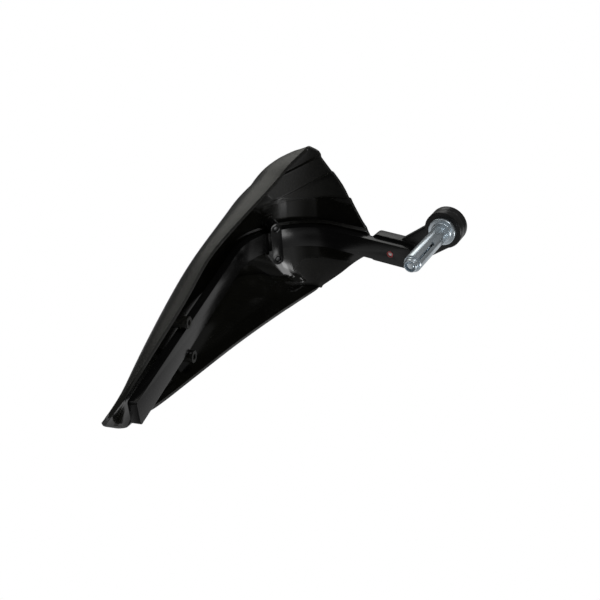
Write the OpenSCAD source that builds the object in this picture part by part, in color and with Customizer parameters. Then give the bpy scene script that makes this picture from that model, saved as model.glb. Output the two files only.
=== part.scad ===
// Right-hand motorcycle hand guard held only at the bar end.
// An expanding insert grips inside the hollow handlebar, a cast arm carries a flat
// bent bar forward round the levers, and a moulded shell is screwed to that bar.
// X runs outward along the handlebar, Y forward and Z up. The origin is on the
// insert's axis, at the outboard end of its sleeve.

/* [Bar-end insert] */
// Outside diameter of the slotted sleeve before it is expanded
sleeve_d = 14.5; // [14:0.5:16]
// Length of the slotted sleeve
sleeve_len = 58; // [50:1:62]
// Wall of the slotted sleeve
sleeve_wall = 2; // [1.6:0.1:2.4]
// Width of the slots in the sleeve
slot_w = 1.8; // [1.2:0.2:2.4]
// Nominal diameter of the long bolt
bolt_d = 6; // [5:1:6]

/* [Bar-end arm and weight] */
// Diameter of the arm's eye and of the weight
eye_d = 32.5; // [30:0.5:36]
// Thickness of the arm's eye
eye_t = 7; // [6:0.5:9]
// Thickness of the weight outside the eye
weight_t = 8; // [7.5:0.5:14]
// Thickness of the arm's pad beside the bar
pad_t = 9.5; // [8:0.5:12]

/* [Bar] */
// Height of the flat bar
bar_h = 19; // [16:1:22]
// Thickness of the flat bar
bar_t = 7; // [5:0.5:8]
// Drop of the bar's middle below the handlebar's axis
bar_drop = 30; // [26:1:34]
// Straight length of the bar ahead of the arm
front_leg = 76; // [70:1:84]
// Inside radius of the bar's bend
bend_r = 56; // [50:1:60]
// Straight length of the bar across the hand
cross_leg = 210; // [200:1:214]
// Angle by which the front leg splays outward
splay = 3.5; // [2:0.5:5]
// Angle by which the cross leg sweeps back
sweep = 16; // [14:0.5:18]

/* [Shell] */
// Wall of the moulded shell
wall = 3; // [2.4:0.2:3.6]
// Depth of the louvre steps in the outer corner
louvre = 2; // [1:0.25:2.5]
// Depth of the step along the lower skirt
skirt = 4; // [2:0.5:5]
// Distance of the shell's belly ahead of the bar's inner face
belly = 16; // [15:0.5:18]
// Extra bulge of the shell halfway along the cross leg
bulge = 6; // [3:0.5:8]

/* [Saddle and screws] */
// Spacing of the two screws above and below the bar
screw_gap = 31; // [30:0.5:34]
// Thickness of the saddle over the bar's inner face
saddle_t = 8; // [6:0.5:9]
// Diameter of the shell screws
screw_d = 5; // [4:0.5:5]
// Outside diameter of the moulded posts
post_d = 9.5; // [9:0.5:11]

/* [Hidden] */
$fn = 48;
eps = 0.01;

// Bar-end stack, from the sleeve outward
collar_t = 1.2;
collar_d = 17.5;
washer_t = 3.3;
washer_d = 23.5;
eye_x = collar_t + washer_t;
weight_x = eye_x + eye_t;
stack_x = weight_x + weight_t;
hole_gap = 0.25;
head_d = 11;
head_h = 5;
sink_gap = 0.5;
seat_gap = 0.3;
cone_len = 5;
cone_grow = 0.9;
sleeve_r = sleeve_d / 2;
bore_r = sleeve_r - sleeve_wall;
slot_len = sleeve_len / 2;
slot_turn = 46;
relief_d = 3.2;
nut_tail = 4.5;
tail_d = 10.8;
nut_grip = 14;
tail_r = 4.4;
tail_sink = 3.2;
bolt_short = 0.8;

// Arm: neck from the eye down to the pad that laps the bar
neck_d = eye_d - 7;
pad_len = 42;
pad_top = 2.5;
lip_t = 2.4;
lip_in = 4;
lip_gap = 0.2;
lap_y = 20;
lap_d = 5;
lap_head_d = 8.5;
lap_head_h = 5;

// Bar in plan: its inner face runs from bar_p0 along the front leg, round the bend
// and along the cross leg
bar_p0 = [-2, 25.5];
leg1_a = 90 - splay;
leg2_a = 180 + sweep;
function unit(a) = [cos(a), sin(a)];
bend_p = bar_p0 + front_leg * unit(leg1_a);
bend_c = bend_p + bend_r * unit(leg1_a + 90);
bend_a0 = leg1_a - 90;
bend_a1 = leg2_a - 90;
cross_p = bend_c + bend_r * unit(bend_a1);
bar_z = -bar_drop;

// Distance along the shell's belly line, from the rear flap to the inner tip
flap_y = 69;
side_off = 11.5;
side_len = (bend_p[1] - flap_y) / sin(leg1_a);
arc_r0 = bend_r + side_off;
arc_r1 = bend_r + belly;
arc_len = (bend_a1 - bend_a0) * PI / 180 * (arc_r0 + arc_r1) / 2;

cross_span = 225;

// Belly line in plan at distance t
function belly_pt(t) =
    t < side_len ? bend_p + side_off * unit(bend_a0) - (side_len - t) * unit(leg1_a)
    : t < side_len + arc_len ? let (f = (t - side_len) / arc_len)
        bend_c + (arc_r0 + (arc_r1 - arc_r0) * f) * unit(bend_a0 + f * (bend_a1 - bend_a0))
    : let (s = t - side_len - arc_len)
        bend_c + (arc_r1 + bulge * sin(180 * min(1, s / cross_span)) ^ 2) * unit(bend_a1)
        + s * unit(leg2_a);

// Guide points of the shell's two edges: distance along the belly line, upper rim
// point and lower rim point
top_z = 53;
low_z = -89.2;
corner_t = 54;
corner_p = belly_pt(corner_t);
GUIDES = [
    [corner_t, [corner_p[0], corner_p[1], top_z], [corner_p[0], corner_p[1], low_z]],
    [ 62, [10.5, 130, top_z], [10.4, 125, -90.4]],
    [ 75, [   5, 130, 52.5], [   5, 125, -90.3]],
    [ 90, [  -3, 130, 51.3], [  -3, 125, low_z]],
    [120, [ -24, 130,  48], [ -22, 125, -86]],
    [145, [ -42, 130, 42.8], [ -41, 125, -83]],
    [165, [ -60, 130,  38.6], [ -58, 125, -80.2]],
    [200, [ -97, 130,  31.2], [ -95, 125, -75]],
    [240, [-142, 130,  20], [-137, 124, -69.2]],
    [290, [-185, 122,   7.4], [-188, 121, -62]],
    [335, [-231, 114,  -3.2], [-234, 118, -55.2]],
    [366, [-266, 110, -13.2], [-256, 114, -46.8]],
    [381, [-297, 107, -19.4], [-273, 112, -43.6]]
];
last = len(GUIDES) - 1;
end_t = GUIDES[last][0];

// Smooth curve through the guide points
function spline(a, b, c, d, f) =
    b + 0.5 * f * (c - a + f * (2 * a - 5 * b + 4 * c - d + f * (3 * (b - c) + d - a)));
function seg(t, i = 0) = i >= last - 1 || t < GUIDES[i + 1][0] ? i : seg(t, i + 1);
function guide(t, k) =
    let (i = seg(t), f = (t - GUIDES[i][0]) / (GUIDES[i + 1][0] - GUIDES[i][0]))
    spline(GUIDES[max(i - 1, 0)][k], GUIDES[i][k], GUIDES[i + 1][k],
           GUIDES[min(i + 2, last)][k], f);
function edge_pt(t, k) = t <= corner_t
    ? [belly_pt(t)[0], belly_pt(t)[1], GUIDES[0][k][2]] : guide(t, k);

// Section of the shell: q runs from the lower rim (0) over the belly to the upper
// rim (1), and the wall curls in toward both rims
belly_q = 0.45;
function curl(k, n) = 1 - pow(max(0, 1 - pow(k, n)), 1 / n);
// Share of the bowl's depth left at distance t: it closes round toward the inner tip,
// which ends in a blunt nose
shut_t = 346;
nose_out = 4;
function shut(t) = sqrt(1 - (0.985 * min(1, max(0, (t - shut_t) / (end_t - shut_t)))) ^ 2);
function curl_n(t) = 3.8 - 1.6 * min(1, max(0, (t - 94) / 42));
function skin(t, q) =
    let (w = belly_pt(t), up = edge_pt(t, 1), low = edge_pt(t, 2),
         k = q > belly_q ? (q - belly_q) / (1 - belly_q) : (belly_q - q) / belly_q,
         e = q > belly_q ? up : low, c = curl(k, curl_n(t)), m = shut(t),
         nose = nose_out * (0.4 + q) * (1 - (2 * q - 1) ^ 4) * ramp(t, shut_t, end_t) * unit(leg2_a),
         chord = low + (up - low) * q)
    [for (i = [0, 1]) chord[i] + nose[i] + (w[i] + (e[i] - w[i]) * c - chord[i]) * m,
     chord[2]];

// Rear edge of the outer wall as height and distance forward: it slopes down to a
// flap that points back along the bar, with a small tab below the top corner
REAR = [[low_z, 126], [-70, 102.6], [-48, 81.8], [-42, 70.5], [-20, 68.6], [-16, 77.6], [3, 89.4], [28, 102.2],
        [30, 107.6], [43, 118.8], [49, 122], [top_z, 130]];
function rear_t(q) =
    (lookup(low_z + (top_z - low_z) * q, REAR) - flap_y) / sin(leg1_a);

// Rows of the moulded wall, from the lower rim up: height at the rear edge, in the
// corner and on the cross leg, then which louvre panel the row belongs to
ROWS = [
    [0, 0, 0, 4], [0.03, 0.03, 0.03, 4], [0.06, 0.06, 0.1, 4], [0.085, 0.085, 0.235, 4],
    [0.1, 0.1, 0.25, 3], [0.2, 0.18, 0.29, 3], [0.3, 0.27, 0.34, 3], [0.4, 0.38, 0.41, 3],
    [0.5, 0.487, 0.5, 3], [0.51, 0.497, 0.51, 2], [0.57, 0.545, 0.55, 2], [0.63, 0.59, 0.58, 2],
    [0.685, 0.632, 0.61, 2], [0.695, 0.642, 0.62, 0], [0.845, 0.667, 0.645, 0],
    [0.855, 0.677, 0.655, 1], [0.9, 0.75, 0.72, 1], [0.94, 0.83, 0.79, 1],
    [0.95, 0.84, 0.8, 0], [0.966, 0.89, 0.86, 0], [0.982, 0.94, 0.92, 0],
    [0.993, 0.98, 0.97, 0], [1, 1, 1, 0]
];
FINE = concat(
    [for (i = [0 : len(ROWS) - 2])
        let (a = ROWS[i], b = ROWS[i + 1], k = a[3] == b[3] ? 2 : 1)
        for (s = [0 : k - 1]) [for (c = [0 : 2]) a[c] + (b[c] - a[c]) * s / k, a[3]]],
    [ROWS[len(ROWS) - 1]]);
rows = len(FINE);
corner_q_t = 97;
front_q_t = 165;

// Stations along the shell
turn_t = 78;
side_n = 9;
STATIONS = concat(
    [for (i = [0 : side_n]) [i / side_n, 0]],
    [for (t = [turn_t + 5 : 5 : 173]) [1, t]],
    [for (t = [184 : 12 : 340]) [1, t]],
    [for (a = [0 : 15 : 90]) [1, shut_t + (end_t - shut_t) * sin(a)]]);
cols = len(STATIONS);
function ramp(t, a, b) = let (f = min(1, max(0, (t - a) / (b - a)))) f * f * (3 - 2 * f);

// Inward step of each louvre panel at distance t
function step_in(panel, t) =
    panel == 1 ? 0.8 * louvre * (1 - ramp(t, 88, 118))
    : panel == 2 ? -louvre * (1 - ramp(t, 88, 118))
    : panel == 3 ? 0.6 * louvre * (1 - ramp(t, 120, 175))
    : panel == 4 ? 0.6 * louvre * (1 - ramp(t, 120, 175))
        + skirt * ramp(t, 75, 108) * (1 - ramp(t, 135, 185))
    : 0;

// Distance, height and inward step of the grid point in station i and row j
function st(i, j) =
    let (s = STATIONS[i], r = FINE[j], t0 = rear_t(r[0]),
         t = s[1] > 0 ? s[1] : t0 + (turn_t - t0) * s[0],
         m = 1 - (1 - min(1, max(0, (t - t0) / (corner_q_t - t0)))) ^ 1.25,
         n = ramp(t, corner_q_t, front_q_t),
         q = (r[0] + (r[1] - r[0]) * m) * (1 - n) + r[2] * n)
    [t, q, step_in(r[3], t) * ramp(q, 0, 0.05)];
function skin_n(t, q) =
    let (h = 0.4, c = min(max(q, 0.002), 0.998), qa = max(0.002, q - 0.01),
         qb = min(0.998, q + 0.01), du = skin(t + h, c) - skin(t - h, c),
         dv = skin(t, qb) - skin(t, qa), n = cross(dv, du))
    n / norm(n);
function shell_pt(i, j, in) =
    let (s = st(i, j), p = skin(min(s[0], end_t), s[1]),
         n = skin_n(min(s[0], end_t - 0.5), s[1]))
    p + n * (in * wall + s[2]);

// Closed solid between the wall's inner face (layer 0) and its outer face (layer 1)
module moulded_wall() {
    n = cols * rows;
    grid = function (i, j, k) k * n + i * rows + j;
    points = concat([for (i = [0 : cols - 1]) for (j = [0 : rows - 1]) shell_pt(i, j, 1)],
                    [for (i = [0 : cols - 1]) for (j = [0 : rows - 1]) shell_pt(i, j, 0)]);
    faces = concat(
        [for (i = [0 : cols - 2]) for (j = [0 : rows - 2]) for (f = [0, 1])
            f == 0 ? [grid(i, j, 0), grid(i + 1, j, 0), grid(i, j + 1, 0)]
                   : [grid(i + 1, j, 0), grid(i + 1, j + 1, 0), grid(i, j + 1, 0)]],
        [for (i = [0 : cols - 2]) for (j = [0 : rows - 2]) for (f = [0, 1])
            f == 0 ? [grid(i, j, 1), grid(i, j + 1, 1), grid(i + 1, j, 1)]
                   : [grid(i + 1, j, 1), grid(i, j + 1, 1), grid(i + 1, j + 1, 1)]],
        [for (i = [0 : cols - 2]) for (f = [0, 1]) for (g = [0, 1])
            let (j = f * (rows - 1), a0 = grid(i, j, 0), b0 = grid(i + 1, j, 0),
                 a1 = grid(i, j, 1), b1 = grid(i + 1, j, 1))
            f == 0 ? (g == 0 ? [a0, a1, b0] : [b0, a1, b1])
                   : (g == 0 ? [a0, b0, a1] : [b0, b1, a1])],
        [for (j = [0 : rows - 2]) for (f = [0, 1]) for (g = [0, 1])
            let (i = f * (cols - 1), a0 = grid(i, j, 0), b0 = grid(i, j + 1, 0),
                 a1 = grid(i, j, 1), b1 = grid(i, j + 1, 1))
            f == 0 ? (g == 0 ? [a0, b0, a1] : [b0, b1, a1])
                   : (g == 0 ? [a0, a1, b0] : [b0, a1, b1])]);
    polyhedron(points, faces, convexity = 6);
}

// Places of the two pairs of posts: round the bend and on the cross leg
saddle_a = 57;
spare_s = 122;
spare_at = side_len + arc_len + spare_s;

// Distance of the wall's middle ahead of the bar's inner face, at height z
function wall_x(t, z, a) =
    let (up = edge_pt(t, 1), low = edge_pt(t, 2), p = skin(t, (z - low[2]) / (up[2] - low[2])))
    ([p[0], p[1]] - bend_c) * unit(a) - bend_r - wall / 2;
module at_saddle() {
    translate([bend_c[0], bend_c[1], bar_z]) rotate([0, 0, saddle_a])
        translate([bend_r, 0, 0]) children();
}
module at_spare() {
    p = cross_p + spare_s * unit(leg2_a);
    translate([p[0], p[1], bar_z]) rotate([0, 0, bend_a1]) children();
}
module pair() {
    for (s = [-1, 1]) translate([0, 0, s * screw_gap / 2]) children();
}
module rod(d, x0, x1) {
    translate([x0, 0, 0]) rotate([0, 90, 0]) cylinder(d = d, h = x1 - x0);
}

// Turned piece about the handlebar's axis from points of radius and place along X
module turned(points) {
    rotate([0, 90, 0]) rotate_extrude() polygon(points);
}

module at_lap() {
    translate([bar_p0[0], bar_p0[1], bar_z]) rotate([0, 0, -splay]) children();
}

lug_d = post_d + 1;
lug_x = 4.5;
boss_d = post_d + 3;
boss_h = 3.5;
seat_x = 12;
spare_in = -3;
spare_deep = 10;
saddle_washer_d = 10;
saddle_washer_t = 1;
button_d = 9.5;
button_h = 2.75;
screw_hole = screw_d + 0.5;

// Moulded shell with hollow posts for two saddles; only the front pair carries screws
module guard_shell() {
    color("#1b1c1d") difference() {
        union() {
            moulded_wall();
            at_saddle() pair() {
                rod(post_d, lug_x, seat_x + 0.5);
                rod(boss_d, seat_x - boss_h, seat_x + 1);
            }
            at_spare() for (s = [-1, 1]) {
                dz = s * screw_gap / 2;
                translate([0, 0, dz])
                    rod(post_d, spare_in, wall_x(spare_at, bar_z + dz, bend_a1));
            }
        }
        at_saddle() pair() {
            rod(screw_hole, 0, 30);
            rod(saddle_washer_d + 1, seat_x, 30);
        }
        at_spare() pair() rod(screw_d - 0.4, spare_in - 1, spare_deep);
    }
}

// Bar bent from flat: straight leg, bend and straight leg, with true round faces
module backbone() {
    turn = bend_a1 - bend_a0;
    color("#4a4c50") difference() {
        union() {
            at_lap() translate([0, 0, -bar_h / 2]) cube([bar_t, front_leg + eps, bar_h]);
            translate([bend_c[0], bend_c[1], bar_z]) rotate([0, 0, bend_a0])
                rotate_extrude(angle = turn, $fn = 96) translate([bend_r, -bar_h / 2])
                    square([bar_t, bar_h]);
            translate([cross_p[0], cross_p[1], bar_z]) rotate([0, 0, bend_a1])
                translate([0, -eps, -bar_h / 2]) cube([bar_t, cross_leg + eps, bar_h]);
        }
        at_lap() translate([0, lap_y, 0]) rod(lap_d, -1, bar_t + 1);
        at_lap() for (s = [0, 1]) mirror([0, 0, s]) translate([-1, 0, bar_h / 2])
            corner_cut(bar_t + 2, 3);
        translate([cross_p[0], cross_p[1], bar_z]) rotate([0, 0, bend_a1])
            translate([0, cross_leg, 0]) for (s = [0, 1]) mirror([0, 0, s])
                mirror([0, 1, 0]) translate([-1, 0, bar_h / 2]) corner_cut(bar_t + 2, 2);
    }
}

// Waste that rounds a corner of radius r at the origin, along X
module corner_cut(len, r) {
    rotate([90, 0, 90]) linear_extrude(len) difference() {
        translate([-eps, -r]) square([r + eps, r + eps]);
        translate([r, -r]) circle(r);
    }
}

module bar_end_arm() {
    pad_low = bar_h / 2 + lip_gap + lip_t;
    pad_high = bar_h / 2 + pad_top;
    color("#2c2d2f") difference() {
        union() {
            turned([[0, eye_x], [eye_d / 2 - 0.8, eye_x], [eye_d / 2, eye_x + 0.8],
                    [eye_d / 2, weight_x], [0, weight_x]]);
            hull() {
                translate([0, 0, -3.2]) rod(neck_d, eye_x, weight_x);
                translate([0, 36, bar_z + 6.3]) rod(12, weight_x - 4, weight_x + 2.5);
                translate([0, 30, bar_z - 7.5]) rod(8, weight_x - 4, weight_x + 2.5);
            }
            at_lap() translate([bar_t, 0, -pad_low])
                cube([pad_t, pad_len, pad_low + pad_high]);
            at_lap() translate([bar_t - lip_in, 1, -pad_low])
                cube([lip_in + eps, pad_len - 1, lip_t]);
        }
        rod(bolt_d + 2 * hole_gap, eye_x - 1, weight_x + 1);
        rod(eye_d + 2 * seat_gap, weight_x, weight_x + 5);
        at_lap() translate([-10, -12, -bar_h / 2 - lip_gap]) cube([10 + bar_t, 40, 40]);
        at_lap() for (c = [[0, pad_high, 6], [1, pad_low, 5]]) mirror([0, 0, c[0]])
            translate([bar_t - lip_in - 1, pad_len, c[1]]) mirror([0, 1, 0])
                corner_cut(lip_in + pad_t + 2, c[2]);
        at_lap() translate([0, lap_y, 0]) {
            rod(lap_d + 0.5, 0, bar_t + pad_t + 1);
            rod(lap_head_d + 2 * sink_gap, bar_t + pad_t - lap_head_h, bar_t + pad_t + 5);
        }
    }
}

module bar_end_weight() {
    r = eye_d / 2;
    sink_r = head_d / 2 + sink_gap;
    hole_r = bolt_d / 2 + hole_gap;
    color("#1c1d1e") turned([[hole_r, weight_x], [r, weight_x], [r, stack_x - 1.2],
        [r - 1.2, stack_x], [sink_r, stack_x], [sink_r, stack_x - head_h],
        [hole_r, stack_x - head_h]]);
}

module seat_washer() {
    color("#aeb6bf") turned([[bolt_d / 2 + hole_gap, collar_t], [washer_d / 2 - 0.4, collar_t],
        [washer_d / 2, collar_t + 0.4], [washer_d / 2, eye_x - 0.4],
        [washer_d / 2 - 0.4, eye_x], [bolt_d / 2 + hole_gap, eye_x]]);
}

module cone_collar() {
    color("#b6bcc3") turned([[bolt_d / 2 + hole_gap, -cone_len], [bore_r, -cone_len],
        [bore_r + cone_grow, 0], [collar_d / 2 - 0.6, 0], [collar_d / 2, 0.6],
        [collar_d / 2, collar_t], [bolt_d / 2 + hole_gap, collar_t]]);
}

module expander_sleeve() {
    color("#b9bfc6") difference() {
        turned([[bore_r + cone_grow, 0], [sleeve_r, 0], [sleeve_r, 0.4 - sleeve_len],
            [sleeve_r - 0.4, -sleeve_len], [bore_r + cone_grow, -sleeve_len],
            [bore_r, cone_len - sleeve_len], [bore_r, -cone_len]]);
        rotate([slot_turn, 0, 0]) {
            translate([-sleeve_len - 1, -slot_w / 2, -sleeve_d])
                cube([slot_len + 1, slot_w, 2 * sleeve_d]);
            translate([slot_len - sleeve_len, 0, -sleeve_d])
                cylinder(d = relief_d, h = 2 * sleeve_d);
        }
    }
}

module wedge_nut() {
    r = bolt_d / 2;
    color("#a9aeb4") turned([[r, tail_sink - sleeve_len - nut_tail],
        [tail_r, tail_sink - sleeve_len - nut_tail], [tail_r, -sleeve_len - nut_tail],
        [tail_d / 2 - 0.5, -sleeve_len - nut_tail],
        [tail_d / 2, -sleeve_len - nut_tail + 0.5], [tail_d / 2, -sleeve_len - 2],
        [bore_r + cone_grow, -sleeve_len - 2], [bore_r + cone_grow, -sleeve_len],
        [bore_r, cone_len - sleeve_len], [bore_r - 0.4, cone_len - sleeve_len],
        [bore_r - 0.4, nut_grip - sleeve_len], [r, nut_grip - sleeve_len]]);
}

// Screw with a round head and a hexagon socket: shank from x0 to x1, head beyond
module screw(d, x0, x1, hd, hh, key) {
    difference() {
        union() {
            turned([[0, x0], [d / 2 - 0.6, x0], [d / 2, x0 + 0.6], [d / 2, x1],
                [hd / 2, x1], [hd / 2, x1 + hh * 0.6], [hd / 2 - hh * 0.25, x1 + hh], [0, x1 + hh]]);
        }
        translate([x1 + hh * 0.4, 0, 0]) rotate([0, 90, 0])
            cylinder(d = key / cos(30), h = hh, $fn = 6);
    }
}

module bar_end_bolt() {
    color("#7d8085") screw(bolt_d, bolt_short - sleeve_len - nut_tail, stack_x - head_h,
        head_d, head_h, 5);
}

module lap_screw() {
    color("#6b6e73") at_lap() translate([0, lap_y, 0])
        screw(lap_d, 0.3, bar_t + pad_t - lap_head_h, lap_head_d, lap_head_h, 4);
}

// Saddle bearing on the bar's inner face, with a tapped lug at each end
module saddle() {
    cut_h = bar_h + 2 * lip_gap;
    color("#3f4145") at_saddle() difference() {
        union() {
            translate([0.5 - saddle_t, -lug_d / 2, -screw_gap / 2])
                cube([saddle_t, lug_d, screw_gap]);
            pair() rod(lug_d, -saddle_t, lug_x);
        }
        translate([-bend_r, 0, -cut_h / 2]) difference() {
            cylinder(r = bend_r + 20, h = cut_h);
            translate([0, 0, -1]) cylinder(r = bend_r, h = cut_h + 2, $fn = 96);
        }
        pair() rod(screw_d, -saddle_t - 1, lug_x + 1);
    }
}

module saddle_screws() {
    color("#5a5c60") at_saddle() pair()
        screw(screw_d, 1.2 - saddle_t, seat_x + saddle_washer_t, button_d, button_h, 3);
}

module saddle_screw_washers() {
    color("#5a5c60") at_saddle() pair() difference() {
        rod(saddle_washer_d, seat_x, seat_x + saddle_washer_t);
        rod(screw_hole, seat_x - 1, seat_x + saddle_washer_t + 1);
    }
}

guard_shell();
backbone();
bar_end_arm();
bar_end_weight();
seat_washer();
cone_collar();
expander_sleeve();
wedge_nut();
bar_end_bolt();
lap_screw();
saddle();
saddle_screws();
saddle_screw_washers();
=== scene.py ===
import bpy, bmesh, math
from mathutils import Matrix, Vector


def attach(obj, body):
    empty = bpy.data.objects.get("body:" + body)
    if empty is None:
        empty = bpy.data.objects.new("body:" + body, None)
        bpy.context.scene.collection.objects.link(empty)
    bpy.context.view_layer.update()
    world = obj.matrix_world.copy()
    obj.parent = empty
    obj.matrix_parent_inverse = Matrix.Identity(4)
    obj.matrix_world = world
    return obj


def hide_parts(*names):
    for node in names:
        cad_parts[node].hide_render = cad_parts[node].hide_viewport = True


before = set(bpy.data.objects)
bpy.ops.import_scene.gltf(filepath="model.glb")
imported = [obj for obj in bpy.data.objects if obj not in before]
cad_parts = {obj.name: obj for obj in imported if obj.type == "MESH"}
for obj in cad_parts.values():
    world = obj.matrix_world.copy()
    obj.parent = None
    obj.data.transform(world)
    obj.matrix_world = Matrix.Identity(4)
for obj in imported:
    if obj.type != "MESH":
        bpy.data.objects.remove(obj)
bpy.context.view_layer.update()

# Guard shell: one moulded bowl of black plastic in front of the hand, with louvre steps
# in its outer corner. The outside has a fine grain from the mould, and the inside is
# smooth and glossy. Two screws hold it to the saddle on the bar.


def finished_copy(node, edge, angle=40, segments=2, smooth=32, merge_flat=True, even_out=0):
    """A merged copy of a CAD node with small rounded edges, standing for that node.

    edge is the width of the rounding on edges sharper than angle. even_out, for curved
    moulded walls, divides the surface once and keeps edges sharper than that angle.
    """
    bpy.ops.object.select_all(action="DESELECT")
    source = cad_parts[node]
    piece = bpy.data.objects.new(node + "_finished", source.data.copy())
    bpy.context.scene.collection.objects.link(piece)
    piece.data.materials.clear()
    piece.select_set(True)
    bpy.context.view_layer.objects.active = piece
    bpy.ops.object.mode_set(mode="EDIT")
    bpy.ops.mesh.select_mode(type="EDGE")
    bpy.ops.mesh.select_all(action="SELECT")
    bpy.ops.mesh.customdata_custom_splitnormals_clear()
    bpy.ops.mesh.remove_doubles(threshold=1e-6)
    if merge_flat:
        bpy.ops.mesh.dissolve_limited(angle_limit=math.radians(0.3), use_dissolve_boundaries=False)
    if even_out:
        bpy.ops.mesh.select_all(action="SELECT")
        bpy.ops.mesh.tris_convert_to_quads(
            face_threshold=math.radians(24), shape_threshold=math.radians(80))
        bpy.ops.mesh.select_all(action="DESELECT")
        bpy.ops.mesh.edges_select_sharp(sharpness=math.radians(even_out))
        bpy.ops.transform.edge_crease(value=1.0)
    bpy.ops.mesh.select_all(action="DESELECT")
    bpy.ops.object.mode_set(mode="OBJECT")
    if even_out:
        divide = piece.modifiers.new("even_surface", "SUBSURF")
        divide.levels = 1
        divide.render_levels = 1
        bpy.ops.object.modifier_apply(modifier=divide.name)
    bevel = piece.modifiers.new("rounded_edges", "BEVEL")
    bevel.width = edge
    bevel.segments = segments
    bevel.limit_method = "ANGLE"
    bevel.angle_limit = math.radians(angle)
    bpy.ops.object.modifier_apply(modifier=bevel.name)
    bpy.ops.object.shade_smooth_by_angle(angle=math.radians(smooth))
    piece.select_set(False)
    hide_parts(node)
    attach(piece, "root")
    return piece


def add_node(tree, kind, links=(), **values):
    """A new node with its settings, each input given as a link or as a plain value."""
    node = tree.nodes.new(kind)
    for key, value in values.items():
        setattr(node, key, value)
    for socket, source in links:
        if isinstance(source, bpy.types.NodeSocket):
            tree.links.new(source, node.inputs[socket])
        else:
            node.inputs[socket].default_value = source
    return node


class Surface:
    """A material built from textures that sit in the object's own space."""

    def __init__(self, name):
        self.material = bpy.data.materials.new(name)
        self.material.use_nodes = True
        self.tree = self.material.node_tree
        self.shader = self.tree.nodes["Principled BSDF"]
        self.place = self.add("ShaderNodeTexCoord").outputs["Object"]

    def add(self, kind, links=(), **values):
        return add_node(self.tree, kind, links, **values)

    def noise(self, scale, detail, place=None):
        links = [("Vector", place or self.place), ("Scale", scale), ("Detail", detail)]
        return self.add("ShaderNodeTexNoise", links).outputs["Fac"]

    def turned(self, squeeze, scale):
        """Noise drawn out round the handlebar's axis, like the marks of a lathe."""
        links = [("Vector", self.place), ("Scale", (squeeze, 1.0, 1.0))]
        return self.noise(scale, 3.0, self.add("ShaderNodeMapping", links).outputs["Vector"])

    def calc(self, operation, *values):
        return self.add("ShaderNodeMath", list(enumerate(values)), operation=operation).outputs[0]

    def between(self, value, least, most, start=0.0, end=1.0):
        """A value carried from the range start to end into the range least to most."""
        links = [("Value", value), ("From Min", start), ("From Max", end)]
        links += [("To Min", least), ("To Max", most)]
        return self.add("ShaderNodeMapRange", links).outputs[0]

    def blend(self, share, first, second):
        """A value between two others."""
        return self.add("ShaderNodeMix", [(0, share), (2, first), (3, second)]).outputs[0]

    def tint(self, share, first, second):
        """A colour between two others, each given as red, green, blue or as a link."""
        first, second = ((*c, 1) if isinstance(c, tuple) else c for c in (first, second))
        return self.add("ShaderNodeMix", [(0, share), (6, first), (7, second)], data_type="RGBA").outputs[2]

    def bump(self, height, strength, distance, over=None):
        links = [("Height", height), ("Strength", strength), ("Distance", distance)]
        if over is not None:
            links.append(("Normal", over))
        return self.add("ShaderNodeBump", links).outputs["Normal"]

    def set(self, tone, rough, bump=None, metallic=0.0, ior=1.5):
        self.tree.links.new(tone, self.shader.inputs["Base Color"])
        self.tree.links.new(rough, self.shader.inputs["Roughness"])
        if bump is not None:
            self.tree.links.new(bump, self.shader.inputs["Normal"])
        self.shader.inputs["Metallic"].default_value = metallic
        self.shader.inputs["IOR"].default_value = ior


def mark_outer_side(piece, line):
    """Store which side of the wall each point is on, seen from a line inside the bowl:
    1 on the outside, 0 on the inside and about 0.5 on the rim."""
    mesh = piece.data
    sides = [[] for _ in mesh.vertices]
    for face in mesh.polygons:
        nearest = None
        for a, b in zip(line[:-1], line[1:]):
            share = max(0.0, min(1.0, (face.center - a).dot(b - a) / (b - a).length_squared))
            away = face.center - (a + (b - a) * share)
            if nearest is None or away.length < nearest.length:
                nearest = away
        facing = nearest.normalized().dot(face.normal)
        side = 1.0 if facing > 0.3 else 0.0 if facing < -0.3 else 0.5
        for corner in face.vertices:
            sides[corner].append(side)
    outer = mesh.attributes.new("outer_side", "FLOAT", "POINT")
    for index, found in enumerate(sides):
        outer.data[index].value = sum(found) / max(1, len(found))


shell = finished_copy("guard_shell", 0.0006, angle=58, segments=3, smooth=38, merge_flat=False, even_out=26)
bend_x, bend_y, bend_radius, bar_height = -0.0533, 0.1048, 0.056, -0.03
bowl_line = [Vector((0.0, 0.03, bar_height))]
for degrees in range(0, 110, 15):
    turn = math.radians(degrees)
    x = bend_x + bend_radius * math.cos(turn)
    y = bend_y + bend_radius * math.sin(turn)
    bowl_line.append(Vector((x, y, bar_height)))
bowl_line.append(Vector((-0.296, 0.086, -0.027)))
mark_outer_side(shell, bowl_line)

plastic = Surface("moulded_black_plastic")
outside = plastic.add("ShaderNodeAttribute", attribute_name="outer_side").outputs["Fac"]
cloud = plastic.noise(38.0, 4.0)
fine = plastic.noise(850.0, 2.0)
wave = plastic.noise(24.0, 1.0)
rough_wall = plastic.blend(outside, plastic.between(cloud, 0.09, 0.13), plastic.between(cloud, 0.27, 0.33))
from_rim = plastic.calc("ABSOLUTE", plastic.calc("SUBTRACT", outside, 0.5))
rough = plastic.blend(plastic.between(from_rim, 0.0, 1.0, 0.3, 0.1), rough_wall, 0.55)
tone_in = plastic.tint(cloud, (0.0048, 0.0048, 0.0036), (0.0070, 0.0070, 0.0055))
speck = plastic.between(fine, 0.0, 1.0, 0.36, 0.66)
tone_out = plastic.tint(speck, (0.001, 0.001, 0.0008), (0.020, 0.0195, 0.0155))
ripple = plastic.bump(wave, 0.05, 0.0010)
grain = plastic.bump(plastic.calc("MULTIPLY", fine, outside), 1.0, 0.00035, over=ripple)
plastic.set(plastic.tint(outside, tone_in, tone_out), rough, grain)
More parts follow.
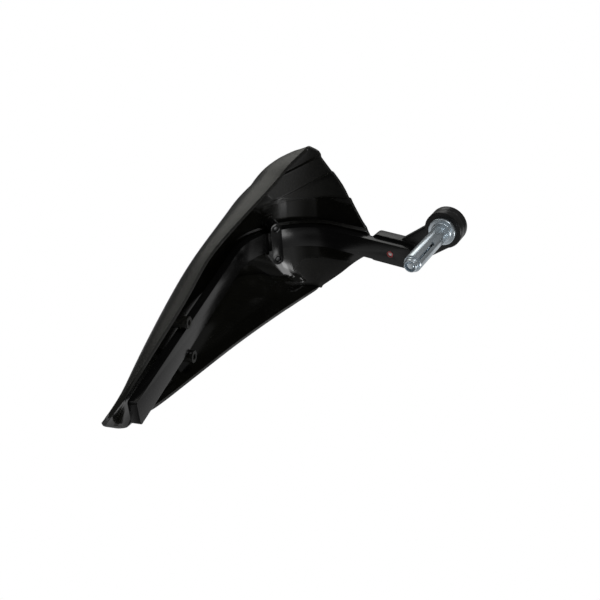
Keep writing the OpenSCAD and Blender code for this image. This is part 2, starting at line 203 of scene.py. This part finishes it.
shell.data.materials.append(plastic.material)

# Backbone: flat aluminium bar, sawn to length, bent once and powder coated black.
# Its front leg is screwed to the arm's pad, and its long leg crosses the hand.
bar = finished_copy("backbone", 0.0007, angle=50, segments=3)
coat = Surface("black_powder_coat")
cloud = coat.noise(60.0, 5.0)
skin = coat.bump(coat.noise(900.0, 3.0), 0.15, 0.0001)
tone = coat.tint(cloud, (0.005, 0.005, 0.0050), (0.008, 0.008, 0.0082))
coat.set(tone, coat.between(cloud, 0.17, 0.23), skin, ior=1.42)
bar.data.materials.append(coat.material)

# Bar-end arm: cast aluminium, powder coated black. Its eye is clamped by the long
# bolt and its pad laps the bar, with a lip that hooks under the bar's lower edge.
arm = finished_copy("bar_end_arm", 0.0008, angle=40, segments=3)
cast = Surface("black_cast_coat")
cloud = cast.noise(110.0, 5.0)
skin = cast.bump(cast.noise(520.0, 5.0), 0.35, 0.0003)
tone = cast.tint(cloud, (0.004, 0.004, 0.004), (0.008, 0.008, 0.008))
cast.set(tone, cast.between(cloud, 0.28, 0.42), skin)
arm.data.materials.append(cast.material)

# Bar-end weight: a ring of turned steel, satin black with fine lathe marks. The long
# bolt's head holds it against the outer side of the arm's eye.
weight = finished_copy("bar_end_weight", 0.0003, angle=30)
black_steel = Surface("satin_black_steel")
cloud = black_steel.noise(140.0, 4.0)
lathe = black_steel.turned(60.0, 60.0)
tone = black_steel.tint(cloud, (0.004, 0.004, 0.004), (0.008, 0.008, 0.008))
black_steel.set(tone, black_steel.between(lathe, 0.26, 0.38), black_steel.bump(lathe, 0.15, 0.0001))
weight.data.materials.append(black_steel.material)

# Seat washer: wide washer of turned steel with bright zinc plate, bluish where it is
# thick. The collar presses it against the inner side of the arm's eye.
washer = finished_copy("seat_washer", 0.0002, angle=30)
zinc = Surface("bright_zinc_plate")
cloud = zinc.noise(160.0, 5.0)
lathe = zinc.turned(40.0, 90.0)
tone = zinc.tint(cloud, (0.70, 0.81, 0.89), (0.88, 0.94, 0.98))
zinc.set(tone, zinc.between(lathe, 0.20, 0.30), zinc.bump(lathe, 0.2, 0.0001), metallic=0.88)
washer.data.materials.append(zinc.material)

# Cone collar: turned steel, zinc plated. The handlebar's end seats on it, and its cone
# enters the sleeve's outer end as the long bolt is drawn up.
collar = finished_copy("cone_collar", 0.0002, angle=30)
collar.data.materials.append(zinc.material)

# Expander sleeve: thin steel tube, zinc plated. A slot cut through both walls from its
# inner end, with a round relief, lets it open on the two cones and grip the handlebar.
sleeve = finished_copy("expander_sleeve", 0.0002, angle=30)
sleeve.data.materials.append(zinc.material)

# Wedge nut: long zinc-plated nut with a cone. It is threaded on the long bolt and
# spreads the sleeve's inner end.
nut = finished_copy("wedge_nut", 0.0002, angle=30)
nut.data.materials.append(zinc.material)

# Long bolt: steel, zinc plated like the sleeve. It runs from the weight through the
# eye, the collar and the sleeve, and its end shows in the nut's open tail.
bolt = finished_copy("bar_end_bolt", 0.00025, angle=30)
bolt.data.materials.append(zinc.material)

# Saddle screws: oiled black steel with hexagon sockets. They pass from the shell's
# outer side through its posts, and end in the saddle's lugs.
screws = finished_copy("saddle_screws", 0.00015, angle=30)
oiled = Surface("oiled_black_steel")
cloud = oiled.noise(300.0, 5.0)
tone = oiled.tint(cloud, (0.05, 0.05, 0.052), (0.11, 0.11, 0.112))
oiled.set(tone, oiled.between(cloud, 0.26, 0.42), oiled.bump(cloud, 0.15, 0.0002), metallic=0.6)
screws.data.materials.append(oiled.material)

# Saddle screw washers: plain washers of the same oiled steel. Each is clamped between
# a screw's head and the shell.
screw_washers = finished_copy("saddle_screw_washers", 0.00015, angle=30)
screw_washers.data.materials.append(oiled.material)

# Lap screw: bright steel, through the arm's pad and tapped into the bar. Its end shows
# on the bar's inner face and is stained red by the thread lock.
screw = finished_copy("lap_screw", 0.0003, angle=30)
bright = Surface("bright_screw_steel")
cloud = bright.noise(900.0, 4.0)
stain = bright.between(bright.noise(260.0, 2.0), 0.0, 1.0, 0.46, 0.60)
clean = bright.tint(cloud, (0.80, 0.74, 0.73), (0.95, 0.92, 0.91))
bright.set(bright.tint(stain, clean, (0.75, 0.30, 0.30)), bright.between(cloud, 0.30, 0.55), metallic=0.5)
screw.data.materials.append(bright.material)

# Ring of red thread lock: cured resin, squeezed out round the lap screw's end. It clings
# to the screw and to the bar's inner face, and is thicker on one side.
screw_at = Vector((-0.000779, 0.045463, -0.030))
screw_way = Vector((0.99813, -0.06105, 0.0))
side_way = screw_way.cross(Vector((0, 0, 1))).normalized()
up_way = side_way.cross(screw_way).normalized()
steps, sides, radius = 48, 10, 0.0026
ring = bpy.data.meshes.new("thread_lock_ring")
form = bmesh.new()
loops = []
for i in range(steps):
    turn = 2 * math.pi * i / steps
    out = side_way * math.cos(turn) + up_way * math.sin(turn)
    thick = 0.00036 + 0.00014 * math.sin(turn + 2.4) + 0.00005 * math.sin(turn * 5)
    loop = []
    for k in range(sides):
        a = 2 * math.pi * k / sides
        rise = thick * 0.8 * math.sin(a) + 0.00005
        loop.append(form.verts.new(screw_at + out * radius + out * thick * math.cos(a) - screw_way * rise))
    loops.append(loop)
for loop, after in zip(loops, loops[1:] + loops[:1]):
    for k in range(sides):
        form.faces.new((loop[k], loop[(k + 1) % sides], after[(k + 1) % sides], after[k]))
bmesh.ops.recalc_face_normals(form, faces=form.faces)
form.to_mesh(ring)
form.free()
for face in ring.polygons:
    face.use_smooth = True
seal = bpy.data.objects.new("thread_lock_ring", ring)
bpy.context.scene.collection.objects.link(seal)
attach(seal, "root")
red = Surface("red_thread_lock")
cloud = red.noise(700.0, 3.0)
tone = red.tint(cloud, (0.34, 0.02, 0.025), (0.80, 0.16, 0.16))
red.set(tone, red.between(cloud, 0.25, 0.45), red.bump(cloud, 0.3, 0.0002))
ring.materials.append(red.material)

# Saddle: small cast bridge over the bar's inner face, enamelled black. The shell's two
# screws end in its lugs and pull it against the bar.
saddle = finished_copy("saddle", 0.0009, angle=40, segments=3)
enamel = Surface("black_enamel")
cloud = enamel.noise(120.0, 4.0)
skin = enamel.bump(enamel.noise(300.0, 3.0), 0.15, 0.0002)
tone = enamel.tint(cloud, (0.003, 0.003, 0.003), (0.006, 0.006, 0.006))
enamel.set(tone, enamel.between(cloud, 0.12, 0.20), skin, ior=1.42)
saddle.data.materials.append(enamel.material)

# Floor: plain pale paper well below the held guard, white for the camera. For mirror rays it glows with a
# painted strength that stands in for the surroundings the bowl reflects. There are two painted shade
# patches and a painted pool of light that fades away from the middle. Patches: centre, reach, strength at
# the centre and past the reach, and where the change starts and ends.
bpy.ops.object.select_all(action="DESELECT")
bpy.ops.mesh.primitive_plane_add(size=12, location=(0, 0, -0.42))
floor = bpy.context.active_object
floor.name = "studio_floor"
paper = Surface("white_floor")
paper.shader.inputs["Roughness"].default_value = 0.9
tone = paper.tint(paper.noise(1.5, 2.0), (0.80, 0.80, 0.80), (0.84, 0.84, 0.84))
paper.tree.links.new(tone, paper.shader.inputs["Base Color"])
# Painted shade and a painted pool of light in the floor's glow for mirror rays, one patch a line.
painted_glow_patches = (
    ((-0.78, -0.02), (0.42, 0.42), 0.07, 0.48, 0.0, 0.7),
    ((0.05, -0.85), (0.95, 0.85), 0.06, 0.48, 0.0, 0.7),
    ((0.0, 0.0), (2.1, 2.1), 0.48, 0.08, 0.28, 0.5),
)
painted_glow_strengths = []
for centre, reach, inner, outer, start, end in painted_glow_patches:
    links = [("Vector", paper.place), ("Location", (*centre, 0.0)), ("Scale", (*reach, 1.0))]
    spot = paper.add("ShaderNodeMapping", links, vector_type="TEXTURE").outputs["Vector"]
    fall = paper.add("ShaderNodeTexGradient", [("Vector", spot)], gradient_type="SPHERICAL")
    painted_glow_strengths.append(paper.between(fall.outputs["Fac"], outer, inner, start, end))
# Painted reflection: the floor's glow strength for mirror rays, the least of the painted patches.
painted_reflection_strength = paper.calc("MINIMUM", paper.calc("MINIMUM", painted_glow_strengths[0], painted_glow_strengths[1]), painted_glow_strengths[2])
white = (1, 1, 1, 1)
path = paper.add("ShaderNodeLightPath")
glow = paper.add("ShaderNodeEmission", [("Color", white), ("Strength", 1.0)])
painted_reflection_glow = paper.add("ShaderNodeEmission", [("Color", white), ("Strength", painted_reflection_strength)])
mirrored = paper.calc("MAXIMUM", path.outputs["Is Glossy Ray"], path.outputs["Is Transmission Ray"])
lit = paper.add("ShaderNodeMixShader", [(0, mirrored), (1, paper.shader.outputs[0]), (2, painted_reflection_glow.outputs[0])])
links = [(0, path.outputs["Is Camera Ray"]), (1, lit.outputs[0]), (2, glow.outputs[0])]
show = paper.add("ShaderNodeMixShader", links)
paper.tree.links.new(show.outputs[0], paper.tree.nodes["Material Output"].inputs["Surface"])
floor.data.materials.append(paper.material)

# Surround: white for the camera, and a dim even light on the guard from all sides.
world = bpy.data.worlds.new("pale_surround")
bpy.context.scene.world = world
world.use_nodes = True
tree = world.node_tree
tree.nodes.clear()
path = add_node(tree, "ShaderNodeLightPath")
dim = add_node(tree, "ShaderNodeBackground", [("Color", white), ("Strength", 0.12)])
bright_back = add_node(tree, "ShaderNodeBackground", [("Color", white), ("Strength", 1.0)])
links = [(0, path.outputs["Is Camera Ray"]), (1, dim.outputs[0]), (2, bright_back.outputs[0])]
mix = add_node(tree, "ShaderNodeMixShader", links)
add_node(tree, "ShaderNodeOutputWorld", [("Surface", mix.outputs[0])])

# Soft boxes: placed where the highlights on the bowl, the pad and the sleeve mirror
# them. Angles in degrees, sizes in metres.
guard_middle = (-0.05, 0.12, -0.02)


def soft_box(name, azimuth, elevation, distance, wide, high, radiance, tint=(1, 1, 1), aim=guard_middle):
    """Rectangular soft box facing its aim; radiance is what a mirror would show."""
    a, e = math.radians(azimuth), math.radians(elevation)
    away = Vector((math.cos(e) * math.cos(a), math.cos(e) * math.sin(a), math.sin(e)))
    light = bpy.data.lights.new(name, "AREA")
    light.shape = "RECTANGLE"
    light.size = wide
    light.size_y = high
    light.energy = radiance * math.pi * wide * high
    light.color = tint
    lamp = bpy.data.objects.new(name, light)
    lamp.location = Vector(aim) + away * distance
    lamp.rotation_euler = away.to_track_quat("Z", "Y").to_euler()
    lamp.visible_camera = False
    bpy.context.scene.collection.objects.link(lamp)


soft_box("low_card", -131.2, 0, 0.778, 0.366, 0.274, 4.4, aim=(0.1355, -0.1185, -0.267))
soft_box("low_card_side", -131.2, 0, 0.778, 0.27, 0.09, 4.4, aim=(-0.0045, 0.004, -0.3675))
soft_box("front_box", 46, 34, 1.4, 0.95, 0.75, 1.0, tint=(1.0, 1.0, 0.93))
soft_box("side_box", 19, 30, 1.2, 0.34, 0.5, 1.0)
soft_box("top_box", 120, 72, 1.5, 0.9, 0.9, 0.5)
soft_box("key_box", -75, 60, 1.4, 0.7, 0.7, 3.2)

# Camera: standing inboard of the guard and behind it, a little above, as in the photo.
view = bpy.data.cameras.new("camera")
view.sensor_width = 36
view.lens = 46.856
view.clip_start = 0.01
camera = bpy.data.objects.new("camera", view)
camera.location = (-0.54995, -0.20778, 0.29925)
camera.rotation_euler = (1.016078, 0.051908, -1.036741)
bpy.context.scene.collection.objects.link(camera)
bpy.context.scene.camera = camera
bpy.context.scene.view_settings.view_transform = "Standard"

bpy.context.view_layer.update()
